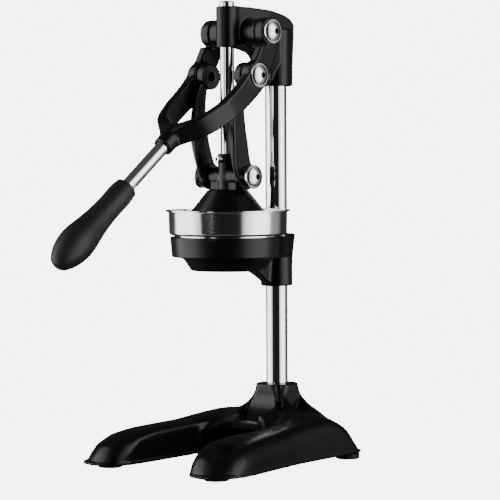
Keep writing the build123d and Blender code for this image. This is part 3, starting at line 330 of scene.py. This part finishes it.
def link_shape(side):
    def shape(x, y, z):
        bar = outline(y, z, curve([(-9.5, 345), (-17, 330), (-21, 312), (-20.6, 292), (-17.4, 272),
                                   (-11, 256.5)])
                      + curve([(9.5, 266), (3.5, 277), (-2.1, 294), (-4.7, 308), (-6.2, 322),
                               (-4, 341)]))
        face = np.interp(z, (272, 292), (24.1, 26.9))
        bar = soft_common(bar, np.maximum(side * x - face, 20.4 - side * x), 1.4)
        upper, lower = np.hypot(y + 0.2, z - 352), np.hypot(y, z - 261)
        eyes = np.minimum(upper, lower) - 11.9
        eyes = soft_common(eyes, np.maximum(side * x - face, 18.45 - side * x), 1.2)
        body = soft_union(bar, eyes, 1.5)
        holes = np.minimum(lower - 7, np.maximum(upper - 4.0, side * x - 24.5))
        return np.maximum(body, -holes)
    return shape


for side, name in ((-1, "left"), (1, "right")):
    middle = 22.7 * side
    cast(f"link_{name}_skin", (middle - 5.2, -22.6, 248), (middle + 5.2, 13.2, 365), 0.8,
         link_shape(side), black_enamel, f"link_{name}_body", f"link_{name}")

# --- Lever yoke -----------------------------------------------------------------------------
# Cast fork: two curved arms from the pivot to a hub that takes the handle's rod.
HANDLE_ANGLE = radians(37.3)
HUB_Y, HUB_Z = -68.0, 301.0  # top end of the hub


def yoke_shape(x, y, z):
    wide = abs(x)
    # Coordinates along the handle's axis, upwards from the hub's top end, and across it
    along = (y - HUB_Y) * cos(HANDLE_ANGLE) + (z - HUB_Z) * sin(HANDLE_ANGLE)
    off = -(y - HUB_Y) * sin(HANDLE_ANGLE) + (z - HUB_Z) * cos(HANDLE_ANGLE)
    side = outline(y, z, curve([(4.6, 379), (-4.1, 364.2), (-14, 352.5), (-25, 341.5),
                                (-42.8, 327.8), (-60, 317), (-74, 307.5), (-85.9, 294.9)])
                   + curve([(-78.7, 285.3), (-66, 291.5), (-56, 296.5), (-42, 305), (-25, 316),
                            (-9, 327), (6.5, 340), (14, 353), (22.5, 366), (29.5, 382)]))
    plan = outline(wide, along, curve([(38.2, 150), (38.2, 52), (35.5, 31), (28.5, 13), (18.5, 1),
                                       (10, -8), (6, -14)])
                   + [(-30, -14)]
                   + curve([(-30, 3), (0, 3), (10.5, 5.5), (21, 14), (27.2, 29), (29.7, 47)])
                   + [(29.7, 150)])
    arms = soft_common(side, plan, 1.8)
    pivot, pin = np.hypot(y - 17.9, z - 391.7), np.hypot(y + 0.2, z - 352)
    eyes = np.minimum(pivot, pin) - 12.8
    eyes = soft_common(eyes, abs(wide - 33.1) - 5.1, 1.2)
    hub = soft_common(np.hypot(x, off) - 9.4 - 0.02 * along, abs(along + 10.75) - 10.75, 0.8)
    body = soft_union(soft_union(arms, eyes, 1.2), hub, 0.8)
    rod_hole = np.maximum(np.hypot(x, off) - 6.3, along + 3)
    holes = np.minimum(np.minimum(pivot - 6.5, pin - 4.02), rod_hole)
    return np.maximum(body, -holes)


cast("lever_yoke_skin", (-39, -92, 278), (39, 32, 406), 1.0, yoke_shape, black_enamel,
     "lever", "lever_yoke")

# --- Chromed parts --------------------------------------------------------------------------
# Column, press rod and cap, handle rod, sleeves, washers and screws: turned steel, polished
# and chrome plated. Cup, strainer and reamer: polished stainless steel.


def metal(name, colour, rough_low, rough_high, grain):
    """A bright metal with fine drawing marks along one axis."""
    material = bpy.data.materials.new(name)
    material.use_nodes = True
    tree = material.node_tree
    shader = tree.nodes["Principled BSDF"]
    shader.inputs["Base Color"].default_value = (*colour, 1)
    shader.inputs["Metallic"].default_value = 1
    place = tree.nodes.new("ShaderNodeTexCoord")
    stretch = tree.nodes.new("ShaderNodeMapping")
    stretch.inputs["Scale"].default_value = grain
    marks = tree.nodes.new("ShaderNodeTexNoise")
    marks.inputs["Scale"].default_value = 60
    marks.inputs["Detail"].default_value = 5
    gloss = tree.nodes.new("ShaderNodeMapRange")
    gloss.inputs["To Min"].default_value = rough_low
    gloss.inputs["To Max"].default_value = rough_high
    tree.links.new(place.outputs["Object"], stretch.inputs["Vector"])
    tree.links.new(stretch.outputs["Vector"], marks.inputs["Vector"])
    tree.links.new(marks.outputs["Fac"], gloss.inputs["Value"])
    tree.links.new(gloss.outputs["Result"], shader.inputs["Roughness"])
    return material


chrome = metal("bright_chrome", (0.88, 0.885, 0.89), 0.03, 0.08, (1, 1, 1))
steel = metal("polished_steel", (0.80, 0.795, 0.79), 0.12, 0.14, (0.2, 0.2, 4))
zinc = metal("zinc_plate", (0.55, 0.55, 0.53), 0.3, 0.45, (1, 1, 1))
bronze = metal("bush_bronze", (0.10, 0.085, 0.068), 0.35, 0.45, (1, 1, 1))
by_slot = {"chrome": chrome, "polished_steel": steel, "zinc_steel": zinc, "bronze_bush": bronze}
for part in frame["record"]["subparts"]:
    if part["material_slot"] in by_slot:
        nodes[part["node"]].data.materials.clear()
        nodes[part["node"]].data.materials.append(by_slot[part["material_slot"]])

# --- Screws and washers -------------------------------------------------------------------
# Button-head screws with a hex socket, turned and chrome plated, each on a washer with a
# raised rim and a sunk ring. One pair holds the yoke, one the links' tops and one their feet.

SCREW_GREY = (0.78, 0.78, 0.785)


def screw_material():
    """Bright chrome that turns dark and dull down in the hex socket and the washer's sunk ring:
    painted shade of these recesses, in the socket partly its own unplated finish.
    """
    material = metal("screw_chrome", SCREW_GREY, 0.14, 0.22, (1, 1, 1))
    tree = material.node_tree
    # Painted shade: a stored mask blends the base colour to near black in the recesses
    recess_shade_mask = tree.nodes.new("ShaderNodeAttribute")
    recess_shade_mask.attribute_name = "painted_recess_shade"
    colour = tree.nodes.new("ShaderNodeMix")
    colour.data_type = "RGBA"
    colour.inputs["A"].default_value = (*SCREW_GREY, 1)
    colour.inputs["B"].default_value = (0.012, 0.012, 0.012, 1)
    tree.links.new(recess_shade_mask.outputs["Fac"], colour.inputs["Factor"])
    tree.links.new(colour.outputs["Result"], tree.nodes["Principled BSDF"].inputs["Base Color"])
    return material


def screw_tree(material):
    """Puts a screw and its washer on each point, facing along the point's outward vector."""
    tree = bpy.data.node_groups.new("button_screws", "GeometryNodeTree")
    tree.interface.new_socket("Geometry", in_out="INPUT", socket_type="NodeSocketGeometry")
    for name, value in (("Head Radius", 8.6), ("Head Height", 4.2), ("Dome Radius", 15.0),
                        ("Socket Radius", 3.0), ("Socket Depth", 2.4), ("Shank Radius", 3.9),
                        ("Shank Length", 20.0), ("Washer Radius", 10.8), ("Washer Thickness", 1.7),
                        ("Ring Outer", 9.8), ("Ring Inner", 7.8), ("Ring Depth", 0.8)):
        size = tree.interface.new_socket(name, in_out="INPUT", socket_type="NodeSocketFloat")
        size.default_value = value * MM
    tree.interface.new_socket("Geometry", in_out="OUTPUT", socket_type="NodeSocketGeometry")
    given = tree.nodes.new("NodeGroupInput").outputs

    def feed(socket, value):
        if isinstance(value, bpy.types.NodeSocket):
            tree.links.new(value, socket)
        else:
            socket.default_value = value

    def calc(operation, a, b):
        made = tree.nodes.new("ShaderNodeMath")
        made.operation = operation
        feed(made.inputs[0], a)
        feed(made.inputs[1], b)
        return made.outputs[0]

    def lifted(mesh, height):
        place = tree.nodes.new("ShaderNodeCombineXYZ")
        feed(place.inputs["Z"], height)
        moved = tree.nodes.new("GeometryNodeTransform")
        feed(moved.inputs["Geometry"], mesh)
        feed(moved.inputs["Translation"], place.outputs[0])
        return moved.outputs[0]

    def disc(radius, depth, middle, sides=72):
        made = tree.nodes.new("GeometryNodeMeshCylinder")
        made.inputs["Vertices"].default_value = sides
        feed(made.inputs["Radius"], radius)
        feed(made.inputs["Depth"], depth)
        return lifted(made.outputs["Mesh"], middle)

    def combined(operation, *meshes):
        made = tree.nodes.new("GeometryNodeMeshBoolean")
        made.operation = operation
        if operation == "DIFFERENCE":
            feed(made.inputs[0], meshes[0])
            meshes = meshes[1:]
        for mesh in meshes:
            tree.links.new(mesh, made.inputs[1])
        return made.outputs[0]

    # Head: a low cylinder under a dome, with the hex socket cut into it
    ball = tree.nodes.new("GeometryNodeMeshUVSphere")
    ball.inputs["Segments"].default_value = 72
    ball.inputs["Rings"].default_value = 96
    feed(ball.inputs["Radius"], given["Dome Radius"])
    dome = lifted(ball.outputs["Mesh"],
                  calc("SUBTRACT", given["Head Height"], given["Dome Radius"]))
    body = disc(given["Head Radius"], given["Head Height"],
                calc("MULTIPLY", given["Head Height"], 0.5))
    head = combined("INTERSECT", body, dome)
    socket = disc(given["Socket Radius"], calc("MULTIPLY", given["Socket Depth"], 2.0),
                  given["Head Height"], 6)
    head = combined("DIFFERENCE", head, socket)
    shank = disc(given["Shank Radius"], given["Shank Length"],
                 calc("MULTIPLY", given["Shank Length"], -0.5))
    # Washer: its ring is sunk from the outer face
    plate = disc(given["Washer Radius"], given["Washer Thickness"],
                 calc("MULTIPLY", given["Washer Thickness"], -0.5))
    twice = calc("MULTIPLY", given["Ring Depth"], 2.0)
    ring = combined("DIFFERENCE", disc(given["Ring Outer"], twice, 0.0),
                    disc(given["Ring Inner"], calc("MULTIPLY", twice, 2.0), 0.0))
    hole = disc(calc("ADD", given["Shank Radius"], 0.0001), 0.02, 0.0)
    washer = combined("DIFFERENCE", plate, ring, hole)
    joined = tree.nodes.new("GeometryNodeJoinGeometry")
    for mesh in (head, shank, washer):
        tree.links.new(mesh, joined.inputs[0])

    # Painted shade: the socket's walls and floor lie close to the axis and below the dome, and get
    # full painted shade
    spot = tree.nodes.new("ShaderNodeSeparateXYZ")
    tree.links.new(tree.nodes.new("GeometryNodeInputPosition").outputs[0], spot.inputs[0])
    square = calc("ADD", calc("MULTIPLY", spot.outputs["X"], spot.outputs["X"]),
                  calc("MULTIPLY", spot.outputs["Y"], spot.outputs["Y"]))
    radius = calc("POWER", square, 0.5)
    near = calc("LESS_THAN", radius, calc("MULTIPLY", given["Socket Radius"], 1.01))
    low = calc("LESS_THAN", spot.outputs["Z"], calc("SUBTRACT", given["Head Height"], 0.0007))
    high = calc("GREATER_THAN", spot.outputs["Z"], 0.0005)
    store = tree.nodes.new("GeometryNodeStoreNamedAttribute")
    store.data_type = "FLOAT"
    store.domain = "FACE"
    store.inputs["Name"].default_value = "painted_recess_shade"
    tree.links.new(joined.outputs[0], store.inputs["Geometry"])
    socket_shade = calc("MULTIPLY", calc("MULTIPLY", near, low), high)
    # The washer's sunk ring, outside the head, gets painted shade too, at 0.8 strength
    outside = calc("GREATER_THAN", radius, calc("MULTIPLY", given["Ring Inner"], 0.98))
    inside = calc("LESS_THAN", radius, calc("MULTIPLY", given["Ring Outer"], 1.005))
    sunk = calc("LESS_THAN", spot.outputs["Z"], calc("MULTIPLY", given["Ring Depth"], -0.4))
    ring_shade = calc("MULTIPLY", calc("MULTIPLY", outside, inside), calc("MULTIPLY", sunk, 0.8))
    tree.links.new(calc("MAXIMUM", socket_shade, ring_shade), store.inputs["Value"])

    outward = tree.nodes.new("GeometryNodeInputNamedAttribute")
    outward.data_type = "FLOAT_VECTOR"
    outward.inputs["Name"].default_value = "outward"
    turn = tree.nodes.new("FunctionNodeAlignRotationToVector")
    turn.axis = "Z"
    tree.links.new(outward.outputs["Attribute"], turn.inputs["Vector"])
    spread = tree.nodes.new("GeometryNodeInstanceOnPoints")
    tree.links.new(given["Geometry"], spread.inputs["Points"])
    tree.links.new(store.outputs["Geometry"], spread.inputs["Instance"])
    tree.links.new(turn.outputs["Rotation"], spread.inputs["Rotation"])
    real = tree.nodes.new("GeometryNodeRealizeInstances")
    tree.links.new(spread.outputs["Instances"], real.inputs["Geometry"])
    finish = tree.nodes.new("GeometryNodeSetMaterial")
    finish.inputs["Material"].default_value = material
    tree.links.new(real.outputs["Geometry"], finish.inputs["Geometry"])
    tree.links.new(finish.outputs["Geometry"], tree.nodes.new("NodeGroupOutput").inputs["Geometry"])
    return tree


button_screws = screw_tree(screw_material())
for kind, body in (("pivot", "stand"), ("upper_link", "lever"), ("lower", "press")):
    seats, outward = [], []
    for side, name in ((-1, "left"), (1, "right")):
        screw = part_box(f"{kind}_screw_{name}")
        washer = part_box(f"{kind}_washer_{name}")
        seat = max(abs(corner.x) for corner in washer)
        height = sum(corner.z for corner in screw) / len(screw)
        seats.append((side * seat, sum(corner.y for corner in screw) / len(screw), height))
        outward.append((float(side), 0.0, 0.0))
    shank_end = min(abs(corner.x) for corner in screw)
    points = bpy.data.meshes.new(f"{kind}_screws")
    points.from_pydata(seats, [], [])
    facing = points.attributes.new("outward", "FLOAT_VECTOR", "POINT")
    facing.data.foreach_set("vector", np.array(outward, np.float32).ravel())
    piece = bpy.data.objects.new(f"{kind}_screws", points)
    bpy.context.scene.collection.objects.link(piece)
    grown = piece.modifiers.new("screws", "NODES")
    grown.node_group = button_screws
    for item in button_screws.interface.items_tree:
        if item.name == "Shank Length":
            grown[item.identifier] = seat - shank_end
    graph = bpy.context.evaluated_depsgraph_get()
    mesh = bpy.data.meshes.new_from_object(piece.evaluated_get(graph))
    piece.modifiers.clear()
    piece.data = mesh
    mesh.polygons.foreach_set("use_smooth", [True] * len(mesh.polygons))
    mesh.set_sharp_from_angle(angle=radians(25))
    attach(piece, body)
    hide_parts(*(f"{kind}_{thing}_{name}"
                         for thing in ("screw", "washer") for name in ("left", "right")))

# --- Grip and feet --------------------------------------------------------------------------
# Soft matte rubber on the handle and under the base.
rubber = enamel("matte_rubber", 0.38, 0.46, (0.014, 0.014, 0.0135), 1600, 0.10)
for name in nodes:
    if name.startswith(("foot_", "handle_grip", "grip_collar")):
        nodes[name].data.materials.clear()
        nodes[name].data.materials.append(rubber)

# --- Floor, light and camera ----------------------------------------------------------------
# Pale floor and a studio of tall light and dark panels that stand all round the press. The
# floor and the background look brighter to the camera than they are in reflections.
CAMERA_AZIMUTH = 41.68
WHITE = 6.0
FLOOR_HALF = 0.32
PANEL_STRENGTH = 3.6
PANEL_MIDDLE, PANEL_FULL, PANEL_END = 0.05, 0.45, 0.80  # heights of the ray's direction


def only_for_camera(tree, camera_value, other_socket, input_socket):
    """Feeds an input with one value as the camera sees it and another for reflections."""
    path = tree.nodes.new("ShaderNodeLightPath")
    choose = tree.nodes.new("ShaderNodeMix")
    choose.data_type = "FLOAT"
    choose.inputs["B"].default_value = camera_value
    tree.links.new(path.outputs["Is Camera Ray"], choose.inputs["Factor"])
    tree.links.new(other_socket, choose.inputs["A"])
    tree.links.new(choose.outputs["Result"], input_socket)


floor_mesh = bpy.data.meshes.new("floor")
floor_mesh.from_pydata([(x * FLOOR_HALF, y * FLOOR_HALF, 0)
                        for x, y in ((-1, -1), (1, -1), (1, 1), (-1, 1))], [], [(0, 1, 2, 3)])
floor = bpy.data.objects.new("floor", floor_mesh)
bpy.context.scene.collection.objects.link(floor)
floor_paint = bpy.data.materials.new("floor_paint")
floor_paint.use_nodes = True
floor_shader = floor_paint.node_tree.nodes["Principled BSDF"]
floor_shader.inputs["Base Color"].default_value = (0.12, 0.12, 0.12, 1)
floor_shader.inputs["Roughness"].default_value = 0.8
floor_shader.inputs["Emission Color"].default_value = (1, 1, 1, 1)
floor_dim = floor_paint.node_tree.nodes.new("ShaderNodeValue")
floor_dim.outputs[0].default_value = 0.0
only_for_camera(floor_paint.node_tree, WHITE, floor_dim.outputs[0],
                floor_shader.inputs["Emission Strength"])
floor_mesh.materials.append(floor_paint)

world = bpy.data.worlds.new("studio")
world.use_nodes = True
tree = world.node_tree
direction = tree.nodes.new("ShaderNodeTexCoord")
parts = tree.nodes.new("ShaderNodeSeparateXYZ")
tree.links.new(direction.outputs["Generated"], parts.inputs["Vector"])


def computed(operation, *values):
    """One math node of the world, fed with sockets or numbers."""
    node = tree.nodes.new("ShaderNodeMath")
    node.operation = operation
    for socket, value in zip(node.inputs, values):
        if isinstance(value, (int, float)):
            socket.default_value = value
        else:
            tree.links.new(value, socket)
    return node.outputs[0]


# Bearing from the camera's side, positive to its right, as a share of a full turn
bearing = computed("ARCTAN2", parts.outputs["Y"], parts.outputs["X"])
bearing = computed("MULTIPLY_ADD", bearing, 1 / (2 * pi), (90 - CAMERA_AZIMUTH + 180) / 360)
bearing = computed("FRACT", bearing)
panels = tree.nodes.new("ShaderNodeValToRGB")
stops = ((-180, 0.01), (-126, 0.02), (-116, 1.0), (-74, 1.0), (-60, 0.45), (-46, 0.02), (-38, 0.004),
         (26, 0.004), (38, 0.5), (58, 1.0), (84, 1.0), (93, 0.12), (116, 0.08),
         (126, 0.01), (165, 0.01), (180, 0.01))
ramp = panels.color_ramp
while len(ramp.elements) < len(stops):
    ramp.elements.new(0.5)
for element, (degrees, value) in zip(ramp.elements, stops):
    element.position = (degrees + 180) / 360
    element.color = (value, value, value, 1)
tree.links.new(bearing, panels.inputs["Fac"])


def strip(middle, half_width, lowest, highest, value):
    """A narrow light panel between two bearings and two heights."""
    share = computed("ABSOLUTE", computed("ADD", bearing, -(middle + 180) / 360))
    share = computed("LESS_THAN", share, half_width / 360)
    share = computed("MULTIPLY", share, computed("GREATER_THAN", parts.outputs["Z"], lowest))
    share = computed("MULTIPLY", share, computed("LESS_THAN", parts.outputs["Z"], highest))
    return computed("MULTIPLY", share, value)


light = computed("MAXIMUM", strip(-32, 4, -0.015, 0.6, 0.8), panels.outputs["Color"])
# Dimmer towards the ceiling and the ground
ceiling = tree.nodes.new("ShaderNodeMapRange")
ceiling.inputs["From Min"].default_value = PANEL_FULL
ceiling.inputs["From Max"].default_value = PANEL_END
from_middle = computed("ABSOLUTE", computed("ADD", parts.outputs["Z"], -PANEL_MIDDLE))
tree.links.new(from_middle, ceiling.inputs["Value"])
level = tree.nodes.new("ShaderNodeMix")
level.data_type = "FLOAT"
level.inputs["B"].default_value = 0.02
tree.links.new(ceiling.outputs["Result"], level.inputs["Factor"])
tree.links.new(light, level.inputs["A"])
strength = computed("MULTIPLY", level.outputs["Result"], PANEL_STRENGTH)
only_for_camera(tree, WHITE, strength, tree.nodes["Background"].inputs["Strength"])
tree.nodes["Background"].inputs["Color"].default_value = (1, 1, 1, 1)
bpy.context.scene.world = world

camera_data = bpy.data.cameras.new("camera")
camera_data.lens = 162.3
camera_data.clip_end = 60
camera = bpy.data.objects.new("camera", camera_data)
azimuth, tilt, roll = radians(CAMERA_AZIMUTH), radians(2.68), radians(-0.30)
camera.matrix_world = (
    Matrix.Translation((1.3764, press_y * MM - 1.5160, 0.2901))
    @ Matrix.Rotation(azimuth, 4, "Z")
    @ Matrix.Rotation(radians(90) - tilt, 4, "X")
    @ Matrix.Rotation(roll, 4, "Z")
)
bpy.context.scene.collection.objects.link(camera)
bpy.context.scene.camera = camera
